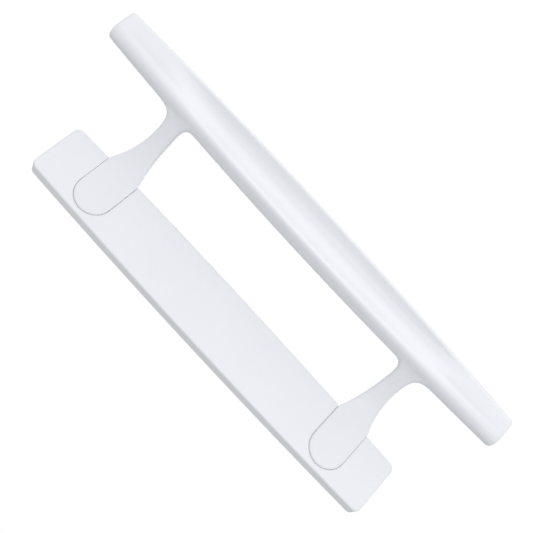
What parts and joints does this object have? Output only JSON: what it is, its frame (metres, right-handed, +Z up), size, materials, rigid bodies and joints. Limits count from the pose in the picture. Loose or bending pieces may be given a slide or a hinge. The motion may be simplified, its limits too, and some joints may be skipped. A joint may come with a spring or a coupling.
{
  "type": "sash lift handle",
  "caption": "Offset pull handle for a sliding sash: long back plate, two feet, two curved arms and a long scooped grip, held from behind by two threaded posts.",
  "frame": {"origin": "middle of the handle's back, on the face of the door that it is fixed to", "axes": "+Z up the length of the handle, +X from the back plate towards the grip, +Y into the door, so the front looks along -Y"},
  "size_m": [0.0874, 0.0523, 0.2762],
  "materials": {
    "white_casting": "satin white powder coat",
    "white_plate": "satin white powder coat",
    "seal_rubber": "matte black",
    "plated_post": "zinc plated, turned",
    "washer_steel": "spring steel",
    "screw_steel": "zinc plated"
  },
  "bodies": {
    "root": {"pull_handle_casting": "white_casting", "escutcheon_plate": "white_plate", "sealing_gasket": "seal_rubber", "upper_mounting_post": "plated_post", "upper_post_lock_washer": "washer_steel", "upper_foot_top_screw": "screw_steel", "upper_foot_bottom_screw": "screw_steel", "lower_mounting_post": "plated_post", "lower_post_lock_washer": "washer_steel", "lower_foot_top_screw": "screw_steel", "lower_foot_bottom_screw": "screw_steel"}
  },
  "joints": []
}
